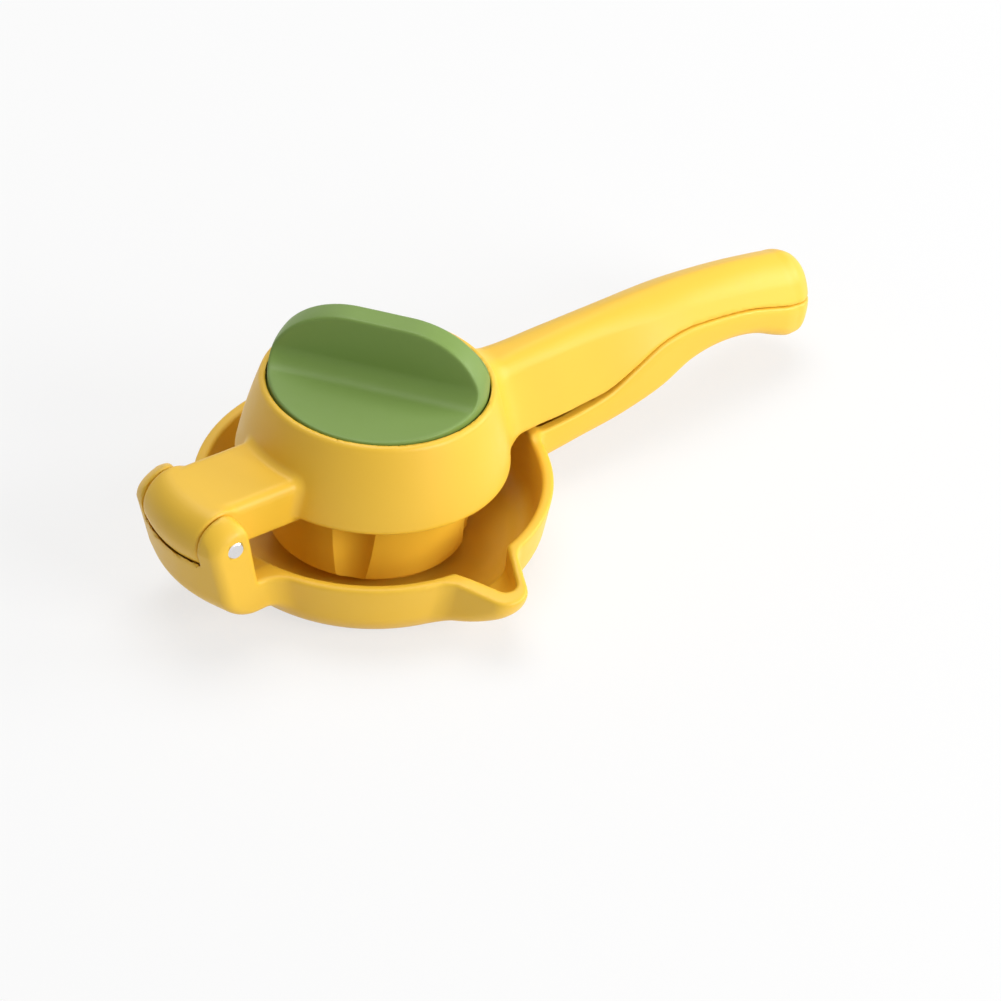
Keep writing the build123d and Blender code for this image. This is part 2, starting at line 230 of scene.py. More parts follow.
@dataclass
class MouldedSurface:
    """The closed skin of a moulded form, worked out from its field on a regular grid within the press's box.

    Every grid cell that the skin passes through gets one point: the one that fits best, by least squares,
    the tangent planes where the skin crosses the cell's edges. So flats stay flat, edges stay crisp, and
    each crossed edge gives one quad between its four cells.
    """

    shape: Field
    low: Array
    high: Array
    step: float
    slab: int = 24
    probe: float = 0.02
    stiffness: float = 0.05
    passes: int = 2

    def slope(self, points: Array) -> Array:
        """Unit outward direction at each point, from central differences of the field.

        Args:
            points: Points as rows of x, y and z.

        Returns:
            Rows of unit vectors.
        """
        shifts = np.eye(3) * self.probe
        parts = [self.at(points + s) - self.at(points - s) for s in shifts]
        rows = np.stack(parts, -1)
        return rows / np.maximum(np.linalg.norm(rows, axis=1, keepdims=True), TINY)

    def at(self, points: Array) -> Array:
        """The field at rows of points."""
        return self.shape(points[:, 0], points[:, 1], points[:, 2])

    def sampled(self) -> tuple[list[Array], Array]:
        """Fills the grid in slabs, to save memory.

        Returns:
            The grid's three axes and the field on it.
        """
        margin = 2 * self.step
        axes = [np.arange(l - margin, h + margin + self.step, self.step) for l, h in zip(self.low, self.high)]
        values = np.empty([len(a) for a in axes], np.float32)
        across, above = axes[1][None, :, None], axes[2][None, None, :]
        for start in range(0, len(axes[0]), self.slab):
            part = slice(start, start + self.slab)
            values[part] = self.shape(axes[0][part, None, None], across, above)
        return axes, values

    def crossings(self, axes: list[Array], values: Array, axis: int) -> tuple[Array, Array, Array]:
        """Where the skin crosses the grid's edges along one axis.

        Args:
            axes: The grid's axes.
            values: The field on the grid.
            axis: Which axis the edges run along.

        Returns:
            The lower grid index of each crossed edge, the crossing point, and whether it leaves the form.
        """
        near = np.moveaxis(values, axis, 0)[:-1]
        far = np.moveaxis(values, axis, 0)[1:]
        index = np.argwhere((near < 0) != (far < 0))
        first, second = near[tuple(index.T)], far[tuple(index.T)]
        order = [axis] + [a for a in range(3) if a != axis]
        index = index[:, np.argsort(order)]
        corner = np.stack([axes[a][index[:, a]] for a in range(3)], -1)
        share = (first / (first - second)).astype(float)
        rise = ((second - first) / self.step).astype(float)
        points = corner.copy()
        points[:, axis] += share * self.step
        for _ in range(self.passes):
            moved = points[:, axis] - self.at(points) / rise
            points[:, axis] = np.clip(moved, corner[:, axis], corner[:, axis] + self.step)
        return index, points, first < 0

    def arrays(self) -> tuple[Array, Array]:
        """Works the skin out and keeps it within the press's box.

        Returns:
            The skin's points and its quads, wound to face outwards.
        """
        axes, values = self.sampled()
        counts = np.array(values.shape) - 1
        cells, planes, spots = [], [], []
        for axis in range(3):
            index, points, leaves = self.crossings(axes, values, axis)
            second, third = (axis + 1) % 3, (axis + 2) % 3
            around = np.repeat(index[:, None, :], 4, axis=1)
            around[:, :, second] -= np.array([1, 0, 0, 1])
            around[:, :, third] -= np.array([1, 1, 0, 0])
            around[~leaves] = around[~leaves, ::-1]
            cells.append(np.ravel_multi_index(tuple(np.moveaxis(around, -1, 0)), counts))
            planes.append(self.slope(points))
            spots.append(points)
        names, quads = np.unique(np.concatenate(cells), return_inverse=True)
        quads = quads.reshape(-1, 4)
        best, plain = self.fitted(quads, np.concatenate(planes), np.concatenate(spots), len(names))
        corner = np.stack([a[i] for a, i in zip(axes, np.unravel_index(names, counts))], -1)
        best = self.drawn(np.clip(best, corner, corner + self.step))
        plain = self.drawn(plain)
        for _ in range(self.passes):
            folded = self.folded(best, quads)
            best[folded] = plain[folded]
        return np.clip(best, *millimetres(CAD_BOX)), quads

    def drawn(self, points: Array) -> Array:
        """Draws points onto the skin along its slope.

        Args:
            points: Points near the skin.

        Returns:
            The same points on the skin.
        """
        for _ in range(self.passes):
            points = points - self.at(points)[:, None] * self.slope(points)
        return points

    def folded(self, points: Array, quads: Array) -> Array:
        """Numbers of the points whose quad turns inwards at one of its corners.

        Args:
            points: The skin's points.
            quads: Rows of four point numbers.

        Returns:
            Point numbers, each once.
        """
        corners = points[quads]
        ahead, behind = np.roll(corners, -1, axis=1) - corners, corners - np.roll(corners, 1, axis=1)
        outward = self.slope(corners.mean(axis=1))
        turns = np.einsum("ijk,ik->ij", np.cross(behind, ahead), outward)
        return np.unique(quads[(turns < 0).any(axis=1)])

    def fitted(self, quads: Array, planes: Array, spots: Array, count: int) -> tuple[Array, Array]:
        """The best point of each cell: the least squares meet of its tangent planes, pulled to their mean.

        Args:
            quads: Cell numbers of each crossed edge.
            planes: Tangent plane normals of the crossings.
            spots: Crossing points.
            count: How many cells there are.

        Returns:
            The best point and the plain mean of the crossings, for each cell.
        """
        cell = quads.ravel()
        normal = np.repeat(planes, 4, axis=0)
        spot = np.repeat(spots, 4, axis=0)

        def gather(weights: Array) -> Array:
            """Sum of a weight over each cell's crossings."""
            return np.bincount(cell, weights, count)

        total = gather(np.ones(len(cell)))
        mean = np.stack([gather(spot[:, i]) for i in range(3)], -1) / total[:, None]
        offset = np.einsum("ij,ij->i", normal, spot - mean[cell])
        matrix = np.stack([gather(normal[:, i] * normal[:, j]) for i in range(3) for j in range(3)], -1)
        matrix = matrix.reshape(-1, 3, 3) + np.eye(3) * self.stiffness * total[:, None, None]
        right = np.stack([gather(normal[:, i] * offset) for i in range(3)], -1)
        return mean + np.linalg.solve(matrix, right[:, :, None])[:, :, 0], mean


def mesh_object(name: str, points: Array, quads: Array) -> Object:
    """A mesh object from point and quad arrays, shaded smooth but for its sharp edges.

    Args:
        name: Name of the object and its mesh.
        points: Rows of x, y and z in metres.
        quads: Rows of four point numbers.

    Returns:
        The new object, linked to the scene.
    """
    mesh = bpy.data.meshes.new(name)
    mesh.vertices.add(len(points))
    mesh.vertices.foreach_set("co", np.ascontiguousarray(points, np.float32).ravel())
    mesh.loops.add(quads.size)
    mesh.loops.foreach_set("vertex_index", np.ascontiguousarray(quads, np.int32).ravel())
    mesh.polygons.add(len(quads))
    mesh.polygons.foreach_set("loop_start", np.arange(0, quads.size, 4, dtype=np.int32))
    mesh.polygons.foreach_set("use_smooth", np.ones(len(quads), bool))
    mesh.update(calc_edges=True)
    mesh.validate()
    mesh.set_sharp_from_angle(angle=CREASE)
    piece = bpy.data.objects.new(name, mesh)
    bpy.context.scene.collection.objects.link(piece)
    return piece


# Forms of the press, with all their sizes in millimetres


def joint(name: str) -> dict:
    """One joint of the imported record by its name."""
    return next(j for j in frame["joints"] if j["name"] == name)


def millimetres(box: tuple) -> tuple[Array, ...]:
    """A box's lowest and highest corner in millimetres."""
    return tuple(np.array(corner) / MILLIMETRE for corner in box)


class Moulding:
    """A moulded piece that stands for one CAD node. Each kind has its node, body, slot, step and field."""

    node: ClassVar[str]
    body: ClassVar[Body]
    material_slot: ClassVar[Slot]
    step: float

    def shape(self, x: Array, y: Array, z: Array) -> Array:
        """The piece's field, which each kind works out."""
        raise NotImplementedError

    def build(self, material: Material) -> Object:
        """Makes the piece, dresses it and lets it ride on its body in place of its CAD node.

        Args:
            material: Its finish.

        Returns:
            The piece.
        """
        points, quads = MouldedSurface(self.shape, *millimetres(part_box(self.node)), self.step).arrays()
        piece = mesh_object(self.node + "_moulding", points * MILLIMETRE, quads)
        piece.data.materials.append(material)
        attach(piece, self.body.value)
        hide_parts(self.node)
        return piece


@dataclass
class HingeShape:
    """The hinge: its pin's place, the round ears and the nose that turns between them."""

    x: float
    z: float
    front: float
    ear_radius: float = 8.7
    ear_back: float = 4.7
    ear_back_lean: float = 0.158
    ear_back_round: float = 5.0
    ear_back_edge: float = 0.7
    ear_front_round: float = 2.4
    ear_top_round: float = 8.0
    nose_radius: float = 10.7
    nose_ease: float = 0.6
    gap: float = 0.4
    gap_round: float = 0.75
    knuckle_half: float = 12.3
    ear_thickness: float = 6.0
    chin_round: float = 9.0
    underside: float = 9.8
    web_top: float = 30.2
    front_bulge: float = 2.04
    front_lean: float = 0.21
    pin_radius: float = 2.5

    @property
    def half_width(self) -> float:
        """Half the width over both ears."""
        return self.knuckle_half + self.gap + self.ear_thickness

    @property
    def ear_reach(self) -> float:
        """How far the ears reach in front of the pin beside the nose."""
        return self.x - self.front - self.front_bulge

    @property
    def top(self) -> float:
        """Height of the ears' crest."""
        return self.z + self.ear_radius

    def disc(self, x: Array, z: Array, radius: float) -> Array:
        """Distance to a round bar along the pin."""
        return np.hypot(x - self.x, z - self.z) - radius

    def barrel(self, x: Array, y: Array, z: Array, clearance: float) -> Array:
        """Distance to the barrel about the pin that bounds the nose, bulging as the front does."""
        return self.disc(x, z, self.nose_radius + clearance) + self.front_bulge * (y / self.knuckle_half) ** 2

    def brow(self, x: Array, z: Array) -> Array:
        """Distance to the front, which leans back below the pin and touches the ears' ellipse.

        Args:
            x: Places along the press, with the front's bulge taken out.
            z: Heights.

        Returns:
            Signed distance, positive in front.
        """
        cos, sin = math.cos(self.front_lean), math.sin(self.front_lean)
        touch = math.hypot(self.ear_reach * cos, self.ear_radius * sin)
        return (self.x - x) * cos + (self.z - z) * sin - touch

    def flattened(self, x: Array, y: Array) -> Array:
        """Places along the press less the front's bulge, b (1 - s^2), which goes on straight beyond s = 1."""
        share = np.abs(y) / self.knuckle_half
        return x + self.front_bulge * (1.0 - np.where(share < 1.0, share * share, 2.0 * share - 1.0))

    def chin(self, x: Array, y: Array, z: Array) -> Array:
        """The front below the head, which turns under in a large round."""
        return round_meet(self.brow(self.flattened(x, y), z), self.underside - z, self.chin_round)

    def envelope(self, x: Array, y: Array, z: Array) -> Array:
        """The form that ears, web and nose share: a round head over the chin, open at the back.

        Args:
            x: Places along the press.
            y: Places across it.
            z: Heights.

        Returns:
            The form's field.
        """
        ahead = np.minimum(self.flattened(x, y) - self.x, 0.0) * self.ear_radius / self.ear_reach
        head = self.disc(np.where(x < self.x, self.x + ahead, x), z, self.ear_radius)
        return np.minimum(head, np.maximum(z - self.z, self.chin(x, y, z)))

    def ears(self, x: Array, y: Array, z: Array) -> Array:
        """The block over both ears: the envelope between soft cheeks, cut off by a steep back.

        Args:
            x: Places along the press.
            y: Places across it.
            z: Heights.

        Returns:
            The form's field.
        """
        rise = eased((z - self.z) / self.ear_radius)
        soft = self.ear_front_round + (self.ear_top_round - self.ear_front_round) * rise
        block = round_meet(self.envelope(x, y, z), np.abs(y) - self.half_width, soft)
        upright = math.sqrt(1.0 - self.ear_back_lean**2)
        back = (x - self.x) * upright + (z - self.z) * self.ear_back_lean - self.ear_back
        back = round_meet(back, z - self.top, self.ear_back_round)
        return round_meet(block, back, self.ear_back_edge)

    def nose(self, x: Array, y: Array, z: Array) -> Array:
        """The nose between the ears: the envelope's front inside a barrel, and a knuckle about the pin.

        Args:
            x: Places along the press.
            y: Places across it.
            z: Heights.

        Returns:
            The form's field.
        """
        front = soft_meet(self.envelope(x, y, z), self.barrel(x, y, z, 0.0), self.nose_ease)
        form = np.minimum(np.maximum(front, x - self.x), self.disc(x, z, self.ear_radius))
        return round_meet(form, np.abs(y) - self.knuckle_half, self.gap_round)


@dataclass
class GripShape:
    """The split grip: shares of its length, crown height and half width along listed stations."""

    reach: float
    root: float = 32.0
    crown: float = 44.5
    half_width: float = 13.0
    wall: float = 2.6
    crown_share: float = 0.43
    palm_share: float = 0.98
    crown_round: float = 4.0
    crown_end_round: float = 7.0
    palm_round: float = 4.6
    flank_ease: float = 1.0
    end_radius: float = 12.0
    end_height_radius: float = 22.0
    end_round: float = 6.0
    end_middle: float = 20.0
    bead: float = 0.9
    bead_start: float = 148.0
    bead_run: float = 4.0
    seam_gap: float = 0.3
    seam_upper_round: float = 0.9
    seam_lower_round: float = 0.5
    seam_tuck: float = 1.0
    rib: float = 1.8
    rib_setback: float = 3.0
    stations: Shares = (0.0, 0.11, 0.24, 0.40, 0.52, 0.60, 0.71, 0.80, 0.87, 0.93, 1.0)
    crowns: Shares = (1.0, 1.0, 0.995, 0.98, 0.963, 0.946, 0.905, 0.86, 0.815, 0.775, 0.745)
    palms: Shares = (0.185, 0.195, 0.22, 0.252, 0.32, 0.416, 0.438, 0.38, 0.284, 0.222, 0.226)
    widths: Shares = (1.42, 1.06, 1.0, 0.98, 0.955, 0.945, 0.95, 0.97, 1.01, 1.04, 1.05)
    seam_stations: Shares = (-0.2, 0.0, 0.13, 0.26, 0.35, 0.42, 0.50, 0.57, 0.65, 0.76, 0.90, 1.1)
    seams: Shares = (0.61, 0.565, 0.514, 0.507, 0.528, 0.602, 0.693, 0.718, 0.696, 0.64, 0.519, 0.37)
    seam_drops: Shares = (0.15, 0.103, 0.05, 0.036, 0.02, 0.006, 0.0, 0.0, 0.0, 0.0, 0.0, 0.0)
    ribs: Shares = (0.22, 0.40, 0.58, 0.76)

    def __post_init__(self) -> None:
        """Works out the curves from the shares."""
        span = self.reach - self.root
        places = self.root + np.array(self.stations) * span
        self.crown_line = Curve(places, np.array(self.crowns) * self.crown)
        self.palm_line = Curve(places, np.array(self.palms) * self.crown)
        self.width_line = Curve(places, np.array(self.widths) * self.half_width)
        seam_places = self.root + np.array(self.seam_stations) * span
        seams = np.array(self.seams) * self.crown
        drops = np.array(self.seam_drops) * self.crown
        self.upper_edge = Curve(seam_places, seams + self.seam_gap / 2)
        self.lower_edge = Curve(seam_places, seams - drops - self.seam_gap / 2)
        self.rib_places = self.root + np.array(self.ribs) * span

    def whole(self, x: Array, y: Array, z: Array, inset: float = 0.0) -> Array:
        """The grip before it is split: a six-sided section, widest at the seam, up to a domed, beaded end.

        Args:
            x: Places along the press.
            y: Places across it.
            z: Heights.
            inset: How far inside the outside the wanted surface lies.

        Returns:
            The form's field.
        """
        crown, palm, half = self.crown_line(x), self.palm_line(x), self.width_line(x)
        seam = self.lower_edge(x) - self.seam_tuck
        rise, lean = crown - seam, half * (1.0 - self.crown_share)
        shoulder = ((np.abs(y) - half) * rise + (z - seam) * lean) / np.hypot(rise, lean)
        fall, tuck = seam - palm, half * (1.0 - self.palm_share)
        flank = ((np.abs(y) - half) * fall + (seam - z) * tuck) / np.hypot(fall, tuck)
        top = (z - crown) / self.crown_line.steepness(x)
        low = (palm - z) / self.palm_line.steepness(x)
        along = np.clip((x - self.root) / (self.reach - self.root), 0.0, 1.0)
        soft = self.crown_round + (self.crown_end_round - self.crown_round) * along
        above, below = round_meet(shoulder, top, soft), round_meet(flank, low, self.palm_round)
        body = soft_meet(above, below, self.flank_ease)
        body = body - self.bead * eased((x - self.bead_start) / self.bead_run)
        aside, over = y / self.end_radius, (z - self.end_middle) / self.end_height_radius
        dome = x - self.reach + (y * aside + (z - self.end_middle) * over) / 2.0
        dome = dome / np.sqrt(1.0 + aside**2 + over**2)
        return round_meet(body, dome, self.end_round) + inset

    def half(self, x: Array, y: Array, z: Array, upper: bool, start: float) -> tuple[Array, Array]:
        """One channel of the grip.

        Args:
            x: Places along the press.
            y: Places across it.
            z: Heights.
            upper: Whether it is the upper channel.
            start: Where its hollow starts.

        Returns:
            The channel's filled form and the room to cut from it, ribs left standing.
        """
        edge = self.upper_edge if upper else self.lower_edge
        over = (edge(x) - z if upper else z - edge(x)) / edge.steepness(x)
        soft = self.seam_upper_round if upper else self.seam_lower_round
        filled = np.maximum(round_meet(self.whole(x, y, z), over, soft), self.root - x)
        hollow = np.maximum(self.whole(x, y, z, self.wall), start - x)
        for place in self.rib_places:
            rib = np.maximum(np.abs(x - place) - self.rib / 2, over + self.rib_setback)
            hollow = np.maximum(hollow, -rib)
        return filled, hollow


@dataclass
class LowerLever(Moulding):
    """Bowl with pouring lip, hinge ears and the lower half of the grip, in one moulding."""

    node: ClassVar[str] = "lower_lever"
    body: ClassVar[Body] = Body.LOWER
    material_slot: ClassVar[Slot] = Slot.YELLOW
    hinge: HingeShape
    grip: GripShape
    rim_radius: float
    lip_reach: float
    height: float = 20.8
    wall: float = 3.2
    draft: float = 1.9
    foot_round: float = 9.5
    rim_round: float = 1.0
    lip_root_radius: float = 16.2
    lip_root_reach: float = 36.0
    lip_tip_radius: float = 6.5
    lip_dip: float = 2.4
    lip_dip_soft: float = 2.0
    lip_throat: float = 4.2
    lip_chin: float = 14.4
    lip_chin_round: float = 4.0
    lip_blend: float = 2.4
    lip_inner_blend: float = 0.7
    lip_tip_wall: float = 1.4
    lip_lean: float = 1.3
    neck_blend: float = 4.5
    grip_blend: float = 3.0
    step: float = 0.75

    def bowl(self, x: Array, y: Array, z: Array, inset: float) -> Array:
        """The bowl's form, open above: a drafted wall that meets the foot in a large round.

        Args:
            x: Places along the press.
            y: Places across it.
            z: Heights.
            inset: Wall thickness left outside it.

        Returns:
            The form's field.
        """
        radius = np.hypot(x, y)
        lean = self.draft / (self.height - self.foot_round)
        side = (radius - self.rim_radius + lean * (self.height - z)) / math.hypot(1.0, lean)
        return round_meet(side + inset, inset - z, self.foot_round - inset)

    def lip(self, x: Array, y: Array, z: Array, inset: float) -> Array:
        """The pouring lip's form, open above: a tapering prow over an underside that sweeps up in an arc.

        Args:
            x: Places along the press.
            y: Places across it.
            z: Heights.
            inset: Wall thickness left outside it.

        Returns:
            The form's field.
        """
        length = self.lip_reach - self.lip_tip_radius - self.lip_root_reach
        length -= self.lip_tip_wall * inset / self.wall
        aside = x - self.lip_lean * inset / self.wall
        ahead = -y - self.lip_root_reach
        prow = tapered_capsule(aside, ahead, length, self.lip_root_radius, self.lip_tip_radius)
        throat = self.rim_radius - self.draft - self.foot_round
        run, rise = self.lip_reach - throat, self.lip_chin - self.lip_throat
        radius = (run * run + rise * rise) / (2.0 * rise)
        depth = np.hypot(np.maximum(-y - throat, 0.0), z - self.lip_throat - radius) - radius
        return round_meet(prow + inset, depth + inset, self.lip_chin_round)

    def rim(self, y: Array, z: Array) -> Array:
        """Height above the rim, which falls off softly along the lip.

        Args:
            y: Places across the press.
            z: Heights.

        Returns:
            Heights above the rim.
        """
        beyond = -y - self.rim_radius
        soft = (beyond + np.hypot(beyond, self.lip_dip_soft)) / 2.0
        return z - self.height + self.lip_dip * soft / (self.lip_reach - self.rim_radius)

    def shape(self, x: Array, y: Array, z: Array) -> Array:
        """The whole lower lever's field: bowl, lip and neck up to the rim, ears and grip, less the hollows.

        Args:
            x: Places along the press.
            y: Places across it.
            z: Heights.

        Returns:
            The form's field.
        """
        hinge = self.hinge
        neck = round_meet(np.abs(y) - hinge.half_width, hinge.chin(x, y, z), hinge.ear_front_round)
        neck = np.maximum(neck, x)
        basin = round_join(self.bowl(x, y, z, 0.0), self.lip(x, y, z, 0.0), self.lip_blend)
        basin = round_join(basin, neck, self.neck_blend)
        basin = round_meet(basin, self.rim(y, z), self.rim_round)
        ears = hinge.ears(x, y, z)
        channel, room = self.grip.half(x, y, z, False, self.rim_radius)
        solid = round_join(np.minimum(basin, ears), channel, self.grip_blend)
        solid = np.maximum(solid, -room)
        hollow = round_join(self.bowl(x, y, z, self.wall), self.lip(x, y, z, self.wall), self.lip_inner_blend)
        solid = round_cut(solid, hollow, self.rim_round)
        solid = round_cut(solid, self.slot(x, y, z), hinge.gap_round)
        return np.maximum(solid, -hinge.disc(x, z, hinge.pin_radius))

    def slot(self, x: Array, y: Array, z: Array) -> Array:
        """Room between the ears: a seat under the nose, open above the front web and towards the bowl.

        Args:
            x: Places along the press.
            y: Places across it.
            z: Heights.

        Returns:
            The room's field.
        """
        hinge = self.hinge
        seat = hinge.barrel(x, y, z, hinge.gap)
        ahead = np.maximum(hinge.web_top - z, x - hinge.x)
        behind = np.maximum(np.maximum(self.height - z, hinge.x - x), x)
        room = np.minimum(seat, np.minimum(ahead, behind))
        return np.maximum(room, np.abs(y) - hinge.knuckle_half - hinge.gap)


@dataclass
class UpperLever(Moulding):
    """Hinge nose, arm, collar and the upper half of the grip, in one moulding."""

    node: ClassVar[str] = "upper_lever"
    body: ClassVar[Body] = Body.UPPER
    material_slot: ClassVar[Slot] = Slot.YELLOW
    hinge: HingeShape
    grip: GripShape
    tilt: float
    arm_half: float = 12.3
    arm_drop: float = 4.5
    arm_round: float = 3.0
    arm_low_round: float = 1.0
    arm_blend: float = 2.0
    collar_top: float = 57.9
    collar_bottom: float = 33.0
    collar_bottom_radius: float = 38.4
    collar_top_radius: float = 32.5
    collar_bulge: float = 0.5
    collar_top_round: float = 1.0
    collar_low_round: float = 1.2
    collar_wall: float = 2.8
    grip_blend: float = 7.0
    well_radius: float = 30.9
    well_round: float = 0.4
    web_top: float = 47.0
    web_bottom: float = 43.6
    boss_radius: float = 14.0
    boss_bottom: float = 42.2
    bush_radius: float = 10.62
    step: float = 0.75

    @property
    def lean(self) -> float:
        """How much the collar narrows per millimetre of height."""
        return (self.collar_bottom_radius - self.collar_top_radius) / (self.collar_top - self.collar_bottom)

    def level(self, x: Array, z: Array) -> tuple[Array, Array]:
        """Swings places back about the pin, so that the collar is level.

        Args:
            x: Places along the press.
            z: Heights.

        Returns:
            Places along the press and heights in the level frame.
        """
        run, rise = x - self.hinge.x, z - self.hinge.z
        cos, sin = math.cos(self.tilt), math.sin(self.tilt)
        return self.hinge.x + run * cos - rise * sin, self.hinge.z + run * sin + rise * cos

    def collar(self, radius: Array, z: Array) -> Array:
        """The collar's outside: a drum that widens downwards with a slight bulge and soft edges.

        Args:
            radius: Distances from the knob's axis.
            z: Heights in the level frame.

        Returns:
            The form's field.
        """
        above = z - self.collar_bottom
        share = above / (self.collar_top - self.collar_bottom)
        bulge = 4.0 * self.collar_bulge * np.clip(share * (1.0 - share), 0.0, None)
        wall = self.collar_bottom_radius - self.lean * above + bulge
        side = (radius - wall) / math.hypot(1.0, self.lean)
        drum = round_meet(side, self.collar_bottom - z, self.collar_low_round)
        return round_meet(drum, z - self.collar_top, self.collar_top_round)

    def arm(self, x: Array, y: Array, z: Array) -> Array:
        """The arm between collar and pin, with soft upper edges.

        Args:
            x: Places along the press in the level frame.
            y: Places across it.
            z: Heights in the level frame.

        Returns:
            The form's field.
        """
        bar = round_meet(np.abs(y) - self.arm_half, z - self.hinge.top, self.arm_round)
        bar = round_meet(bar, self.hinge.z - self.arm_drop - z, self.arm_low_round)
        return np.maximum(bar, np.maximum(self.hinge.x - x, x))

    def wells(self, radius: Array, z: Array) -> Array:
        """Room for the knob above the web, for the reamer below it, and the bush's seat between them.

        Args:
            radius: Distances from the knob's axis.
            z: Heights in the level frame.

        Returns:
            The room's field.
        """
        knob = np.maximum(radius - self.well_radius, self.web_top - z)
        above = np.maximum(z - self.collar_bottom, 0.0)
        wall = self.collar_bottom_radius - self.collar_wall - self.lean * above
        reamer = np.maximum(radius - wall, z - self.web_bottom)
        reamer = np.maximum(reamer, -np.maximum(radius - self.boss_radius, self.boss_bottom - z))
        return np.minimum(np.minimum(knob, reamer), radius - self.bush_radius)

    def shape(self, x: Array, y: Array, z: Array) -> Array:
        """The whole upper lever's field.

        Args:
            x: Places along the press.
            y: Places across it.
            z: Heights.

        Returns:
            The form's field.
        """
        hinge = self.hinge
        flat_x, flat_z = self.level(x, z)
        radius = np.hypot(flat_x, y)
        bar = np.minimum(self.arm(flat_x, y, flat_z), hinge.nose(x, y, z))
        body = round_join(self.collar(radius, flat_z), bar, self.arm_blend)
        channel, room = self.grip.half(x, y, z, True, self.collar_bottom_radius + self.grip.wall)
        body = round_join(body, channel, self.grip_blend)
        body = np.maximum(body, -room)
        body = round_cut(body, self.wells(radius, flat_z), self.well_round)
        return np.maximum(body, -hinge.disc(x, z, hinge.pin_radius))


@dataclass
class PressKnob(Moulding):
    """The turning knob: a dome scooped to a finger bar, over a skirt, a shaft and a square drive."""

    node: ClassVar[str] = "press_knob"
    body: ClassVar[Body] = Body.HEAD
    material_slot: ClassVar[Slot] = Slot.GREEN
    lever: UpperLever
    radius: float = 30.6
    angle: float = math.radians(-54.0)
    height: float = 19.9
    bar_half: float = 3.7
    flat_half: float = 8.0
    cove: float = 4.9
    cove_height: float = 2.4
    cove_round: float = 5.0
    brim: float = 0.1
    dome_overrun: float = 0.3
    dome_round: float = 1.0
    edge_round: float = 0.6
    skirt: float = 9.4
    skirt_wall: float = 2.6
    roof: float = 2.0
    shoulder_radius: float = 12.0
    shoulder: float = 8.4
    shaft_radius: float = 8.0
    shaft_end: float = 16.7
    drive_half: float = 5.5
    drive_end: float = 34.7
    step: float = 0.5

    def dome(self, radius: Array, up: Array) -> Array:
        """Distance to the dome: a flat crest that falls to the rim in a quarter ellipse.

        With p the place beyond the flat and a, b the half axes, it is (p^2/a^2 + z^2/b^2 - 1) over its slope.

        Args:
            radius: Distances from the knob's axis.
            up: Heights above the collar.

        Returns:
            Distance to the dome, to first order.
        """
        width = self.radius + self.dome_overrun - self.flat_half
        beyond = np.maximum(radius - self.flat_half, 0.0)
        over = np.maximum(up, 0.0)
        level = (beyond / width) ** 2 + (over / self.height) ** 2 - 1.0
        slope = 2.0 * np.hypot(beyond / width**2, over / self.height**2)
        return level / np.maximum(slope, 1.0 / self.height)

    def scoop(self, aside: Array, up: Array) -> Array:
        """The bar's steep wall and the shallow floor beside it, joined by a cove.

        Args:
            aside: Distances from the bar's middle plane.
            up: Heights above the collar.

        Returns:
            The field of what stands below both.
        """
        run, fall = self.cove - self.bar_half, self.height - self.cove_height
        wall = ((aside - self.bar_half) * fall + (up - self.height) * run) / math.hypot(run, fall)
        reach, dip = self.radius - self.cove, self.cove_height - self.brim
        floor = ((aside - self.cove) * dip + (up - self.cove_height) * reach) / math.hypot(reach, dip)
        return round_join(wall, floor, self.cove_round)

    def shape(self, x: Array, y: Array, z: Array) -> Array:
        """The whole knob's field.

        Args:
            x: Places along the press.
            y: Places across it.
            z: Heights.

        Returns:
            The form's field.
        """
        flat_x, flat_z = self.lever.level(x, z)
        up = flat_z - self.lever.collar_top
        aside = np.abs(y * math.cos(self.angle) - flat_x * math.sin(self.angle))
        radius = np.hypot(flat_x, y)
        cap = round_meet(radius - self.radius, self.dome(radius, up), self.dome_round)
        cap = round_meet(cap, self.scoop(aside, up), self.edge_round)
        cap = np.maximum(cap, -self.skirt - up)
        middle = (self.radius - self.skirt_wall + self.shoulder_radius) / 2.0
        hollow = np.abs(radius - middle) - (middle - self.shoulder_radius)
        cap = np.maximum(cap, -np.maximum(hollow, up + self.roof))
        cap = np.maximum(cap, -np.maximum(radius - self.shoulder_radius, up + self.shoulder))
        shaft = np.maximum(radius - self.shaft_radius, np.maximum(up + self.roof, -self.shaft_end - up))
        square = np.maximum(np.abs(flat_x), np.abs(y)) - self.drive_half
        drive = np.maximum(square, np.maximum(up + self.shaft_end - self.roof, -self.drive_end - up))
        return np.minimum(cap, np.minimum(shaft, drive))


# Finishes


class Grain(Enum):
    """Layers of a fine skin: features per metre, levels of detail and the strength of the finer levels."""

    CLOUDS = (38.0, 3.0, 0.5)
    SMEARS = (260.0, 4.0, 0.5)
    SKIN = (5200.0, 2.0, 0.6)


def noise(tree: NodeTree, grain: Grain) -> NodeSocket:
    """A noise texture on Object coordinates.

    Args:
        tree: Where its nodes go.
        grain: Which layer it makes.

    Returns:
        The noise's values.
    """
    place = tree.nodes.new("ShaderNodeTexCoord")
    texture = tree.nodes.new("ShaderNodeTexNoise")
    for label, value in zip(("Scale", "Detail", "Roughness"), grain.value):
        texture.inputs[label].default_value = value
    tree.links.new(place.outputs["Object"], texture.inputs["Vector"])
    return texture.outputs["Fac"]


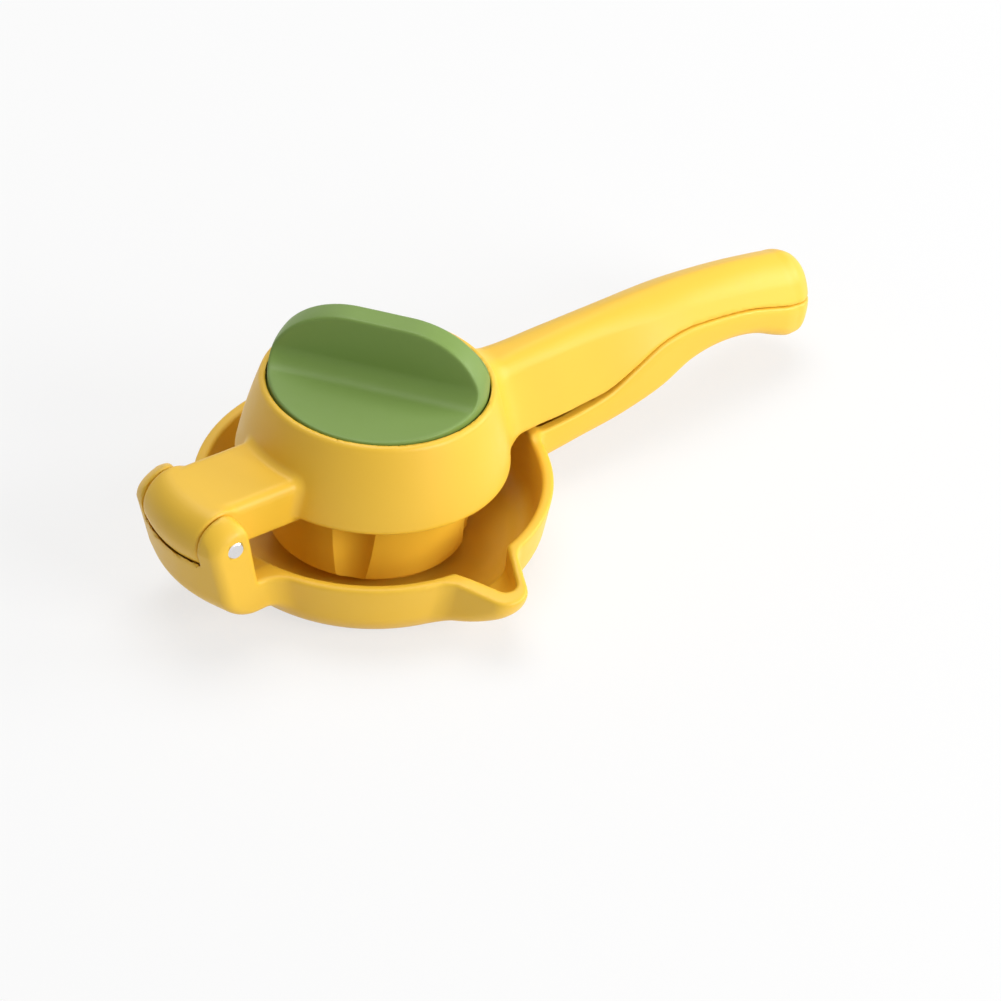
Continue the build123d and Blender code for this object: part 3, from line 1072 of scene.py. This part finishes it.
def grain_group() -> NodeTree:
    """Slow clouding of the tone, finer clouding of the gloss and a fine skin texture, built once.

    The roughness that comes out is the one put in, plus the spread times how far the noise is off its middle.

    Returns:
        A shader group that puts out a clouding mask, a roughness and a bump height.
    """
    found = bpy.data.node_groups.get(GRAIN_GROUP)
    if found:
        return found
    tree = bpy.data.node_groups.new(GRAIN_GROUP, "ShaderNodeTree")
    for label in ("Roughness", "Spread"):
        tree.interface.new_socket(label, in_out="INPUT", socket_type="NodeSocketFloat")
    for label in ("Clouding", "Roughness", "Height"):
        tree.interface.new_socket(label, in_out="OUTPUT", socket_type="NodeSocketFloat")
    inside, out = tree.nodes.new("NodeGroupInput"), tree.nodes.new("NodeGroupOutput")
    centred, scaled = tree.nodes.new("ShaderNodeMath"), tree.nodes.new("ShaderNodeMath")
    centred.operation = "SUBTRACT"
    centred.inputs[1].default_value = NOISE_MIDDLE
    scaled.operation = "MULTIPLY_ADD"
    tree.links.new(noise(tree, Grain.SMEARS), centred.inputs[0])
    tree.links.new(centred.outputs[0], scaled.inputs[0])
    tree.links.new(inside.outputs["Spread"], scaled.inputs[1])
    tree.links.new(inside.outputs["Roughness"], scaled.inputs[2])
    tree.links.new(scaled.outputs[0], out.inputs["Roughness"])
    tree.links.new(noise(tree, Grain.CLOUDS), out.inputs["Clouding"])
    tree.links.new(noise(tree, Grain.SKIN), out.inputs["Height"])
    return tree


@dataclass(frozen=True, kw_only=True)
class Finish:
    """A finish whose gloss clouds a little, over a fine skin. Its skin's depth is in metres."""

    name: str
    tone: Tone
    roughness: float
    spread: float
    skin_depth: float

    def colour(self, tree: NodeTree, shader: Node, clouding: NodeSocket) -> None:
        """Gives the shader its colour, as each kind of finish does."""
        raise NotImplementedError

    def material(self) -> Material:
        """The finish as a material, made once.

        Returns:
            The material.
        """
        found = bpy.data.materials.get(self.name)
        if found:
            return found
        made = bpy.data.materials.new(self.name)
        made.use_nodes = True
        nodes, links = made.node_tree.nodes, made.node_tree.links
        shader = nodes["Principled BSDF"]
        grain = nodes.new("ShaderNodeGroup")
        grain.node_tree = grain_group()
        grain.inputs["Roughness"].default_value = self.roughness
        grain.inputs["Spread"].default_value = self.spread
        bump = nodes.new("ShaderNodeBump")
        bump.inputs["Distance"].default_value = self.skin_depth
        links.new(grain.outputs["Roughness"], shader.inputs["Roughness"])
        links.new(grain.outputs["Height"], bump.inputs["Height"])
        links.new(bump.outputs["Normal"], shader.inputs["Normal"])
        self.colour(made.node_tree, shader, grain.outputs["Clouding"])
        return made


@dataclass(frozen=True, kw_only=True)
class Plastic(Finish):
    """A satin moulded plastic: two close tones that cloud into each other, and a fine moulded skin."""

    cloud: Tone
    roughness: float = 0.42
    spread: float = 0.16
    skin_depth: float = 0.000012
    specular: float = 0.4
    coat: float = 0.05
    coat_roughness: float = 0.3

    def colour(self, tree: NodeTree, shader: Node, clouding: NodeSocket) -> None:
        """Clouds the two tones into each other and sets the gloss.

        Args:
            tree: Where the nodes go.
            shader: The material's shader.
            clouding: The mask that mixes the tones.
        """
        tones = tree.nodes.new("ShaderNodeMix")
        tones.data_type = "RGBA"
        tones.inputs["A"].default_value = (*self.tone, 1.0)
        tones.inputs["B"].default_value = (*self.cloud, 1.0)
        tree.links.new(clouding, tones.inputs["Factor"])
        tree.links.new(tones.outputs["Result"], shader.inputs["Base Color"])
        shader.inputs["Specular IOR Level"].default_value = self.specular
        shader.inputs["Coat Weight"].default_value = self.coat
        shader.inputs["Coat Roughness"].default_value = self.coat_roughness


@dataclass(frozen=True, kw_only=True)
class Steel(Finish):
    """Ground stainless steel with a fine skin texture."""

    tone: Tone = (0.74, 0.74, 0.76)
    roughness: float = 0.22
    spread: float = 0.1
    skin_depth: float = 0.000006

    def colour(self, tree: NodeTree, shader: Node, clouding: NodeSocket) -> None:
        """Sets one even metal tone."""
        shader.inputs["Metallic"].default_value = 1.0
        shader.inputs["Base Color"].default_value = (*self.tone, 1.0)


YELLOW = Plastic(name="yellow_satin_plastic", tone=(0.87, 0.54, 0.045), cloud=(0.84, 0.50, 0.035))
GREEN = Plastic(name="green_satin_plastic", tone=(0.18, 0.29, 0.06), cloud=(0.165, 0.265, 0.05),
                roughness=0.5)
WHITE = Plastic(name="white_bearing_plastic", tone=(0.86, 0.85, 0.81), cloud=(0.80, 0.79, 0.75),
                roughness=0.35)
GROUND_STEEL = Steel(name="ground_stainless_steel")


def dress(node: str, material: Material) -> Object:
    """Gives a CAD node that stays in view its finish.

    Args:
        node: The node's name.
        material: Its finish.

    Returns:
        The node's object.
    """
    piece = frame["nodes"][node]
    piece.data.materials.clear()
    piece.data.materials.append(material)
    return piece


@dataclass(frozen=True)
class Lamp:
    """A square soft lamp with its power in watts and its side in metres.

    It stands off the press by shares of the camera's right, of the way towards the camera and of straight up.
    """

    name: str
    aside: float
    ahead: float
    above: float
    power: float
    side: float


@dataclass
class Studio:
    """Floor, light and camera. The camera's angles, in degrees, and place, in mm, fit the photograph."""

    azimuth: float = -40.06
    elevation: float = 38.76
    roll: float = 2.15
    distance: float = 1069.2
    shift_right: float = -35.96
    shift_up: float = -9.23
    focal_pixels: float = 3796.7
    sensor: float = 36.0
    floor_half: float = 6.0
    floor_tone: float = 0.86
    floor_glow: float = 0.7
    floor_roughness: float = 0.9
    sky: float = 0.27
    reach: float = 1.7
    clip: tuple[float, float] = (0.01, 100.0)
    lamps: tuple[Lamp, ...] = (
        Lamp("top_lamp", aside=0.0, ahead=-0.33, above=1.0, power=15.5, side=1.2),
        Lamp("side_lamp", aside=1.0, ahead=0.6, above=0.45, power=18.0, side=0.8),
        Lamp("rim_lamp", aside=1.0, ahead=-0.3, above=0.35, power=11.0, side=0.8),
    )

    def axes(self) -> tuple[Vector, Vector, Vector]:
        """Works out which way the camera faces.

        Returns:
            The camera's right, up and back directions.
        """
        a, e, r = (math.radians(v) for v in (self.azimuth, self.elevation, self.roll))
        back = Vector((math.sin(a) * math.cos(e), -math.cos(a) * math.cos(e), math.sin(e)))
        right = Vector((math.cos(a), math.sin(a), 0.0))
        up = back.cross(right)
        return right * math.cos(r) + up * math.sin(r), up * math.cos(r) - right * math.sin(r), back

    def camera(self) -> Object:
        """A camera where the photograph was taken from, for an image of 1001 by 1001 pixels.

        Returns:
            The camera.
        """
        right, up, back = self.axes()
        data = bpy.data.cameras.new("photo_camera")
        data.sensor_width = self.sensor
        data.lens = self.focal_pixels / IMAGE_SIDE * self.sensor
        data.clip_start, data.clip_end = self.clip
        camera = bpy.data.objects.new("photo_camera", data)
        place = (back * self.distance - right * self.shift_right - up * self.shift_up) * MILLIMETRE
        turn = Matrix((right, up, back)).transposed().to_4x4()
        camera.matrix_world = Matrix.Translation(place) @ turn
        bpy.context.scene.collection.objects.link(camera)
        bpy.context.scene.camera = camera
        return camera

    def seen(self, tree: NodeTree) -> NodeSocket:
        """A mask that is one for camera, glossy and transmission rays.

        Args:
            tree: Where its nodes go.

        Returns:
            The mask's socket.
        """
        path = tree.nodes.new("ShaderNodeLightPath")
        total = path.outputs["Is Camera Ray"]
        for label in ("Is Glossy Ray", "Is Transmission Ray"):
            either = tree.nodes.new("ShaderNodeMath")
            either.operation = "MAXIMUM"
            tree.links.new(total, either.inputs[0])
            tree.links.new(path.outputs[label], either.inputs[1])
            total = either.outputs[0]
        return total

    def world(self) -> None:
        """A white surround for what sees it, and an even fill for what it lights."""
        world = bpy.data.worlds.new("studio")
        world.use_nodes = True
        bpy.context.scene.world = world
        tree = world.node_tree
        background = tree.nodes["Background"]
        background.inputs["Color"].default_value = (1.0, 1.0, 1.0, 1.0)
        strength = tree.nodes.new("ShaderNodeMapRange")
        strength.inputs["To Min"].default_value = self.sky
        strength.inputs["To Max"].default_value = 1.0
        tree.links.new(self.seen(tree), strength.inputs["Value"])
        tree.links.new(strength.outputs["Result"], background.inputs["Strength"])

    def floor(self) -> Object:
        """A pale floor that glows white to the camera and still takes the press's shadow.

        Returns:
            The floor.
        """
        half = self.floor_half
        points = np.array([(-half, -half, 0.0), (half, -half, 0.0), (half, half, 0.0), (-half, half, 0.0)])
        floor = mesh_object("studio_floor", points, np.array([[0, 1, 2, 3]]))
        made = bpy.data.materials.new("pale_floor")
        made.use_nodes = True
        nodes, links = made.node_tree.nodes, made.node_tree.links
        shader = nodes["Principled BSDF"]
        shader.inputs["Base Color"].default_value = (self.floor_tone,) * 3 + (1.0,)
        shader.inputs["Roughness"].default_value = self.floor_roughness
        shader.inputs["Specular IOR Level"].default_value = 0.0
        glow = nodes.new("ShaderNodeEmission")
        share = nodes.new("ShaderNodeMath")
        share.operation = "MULTIPLY"
        share.inputs[1].default_value = self.floor_glow
        mix = nodes.new("ShaderNodeMixShader")
        links.new(self.seen(made.node_tree), share.inputs[0])
        links.new(share.outputs[0], mix.inputs["Fac"])
        links.new(shader.outputs["BSDF"], mix.inputs[1])
        links.new(glow.outputs["Emission"], mix.inputs[2])
        links.new(mix.outputs["Shader"], nodes["Material Output"].inputs["Surface"])
        floor.data.materials.append(made)
        return floor

    def hang(self, lamp: Lamp) -> Object:
        """Hangs a lamp so that it faces the press.

        Args:
            lamp: The lamp.

        Returns:
            Its object.
        """
        right, _, back = self.axes()
        toward = Vector((back.x, back.y, 0.0)).normalized()
        direction = right * lamp.aside + toward * lamp.ahead + Vector((0.0, 0.0, lamp.above))
        data = bpy.data.lights.new(lamp.name, "AREA")
        data.energy, data.size = lamp.power, lamp.side
        hung = bpy.data.objects.new(lamp.name, data)
        hung.location = direction.normalized() * self.reach
        hung.rotation_mode = "QUATERNION"
        hung.rotation_quaternion = direction.to_track_quat("Z", "Y")
        bpy.context.scene.collection.objects.link(hung)
        return hung

    def build(self) -> None:
        """Sets up the whole studio."""
        self.camera()
        self.world()
        self.floor()
        for lamp in self.lamps:
            self.hang(lamp)
        bpy.context.scene.view_settings.view_transform = "Standard"


def main() -> None:
    """Builds the press's pieces in order, dresses them and sets the studio."""
    logging.basicConfig(level=logging.INFO)
    low, high = millimetres(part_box(LowerLever.node))
    pin = np.array(joint("lever_hinge")["pos_m"]) / MILLIMETRE
    axis = joint("knob_turn")["axis"]
    hinge = HingeShape(x=pin[0], z=pin[2], front=low[0])
    grip = GripShape(reach=high[0])
    upper = UpperLever(hinge, grip, tilt=math.atan2(axis[0], axis[2]))
    pieces = [
        LowerLever(hinge, grip, rim_radius=high[1], lip_reach=-low[1]).build(YELLOW.material()),
        upper.build(YELLOW.material()),
        PressKnob(upper).build(GREEN.material()),
    ]
    for node in ("reamer", "reamer_cap"):
        pieces.append(dress(node, YELLOW.material()))
    for node in ("bearing_bush", "knob_washer", "reamer_washer"):
        pieces.append(dress(node, WHITE.material()))
    for node in ("hinge_pin", "reamer_screw", "screw_washer"):
        pieces.append(dress(node, GROUND_STEEL.material()))
    for piece in pieces:
        log.info("%s: %d faces", piece.name, len(piece.data.polygons))
    Studio().build()


if __name__ == "__main__":
    main()
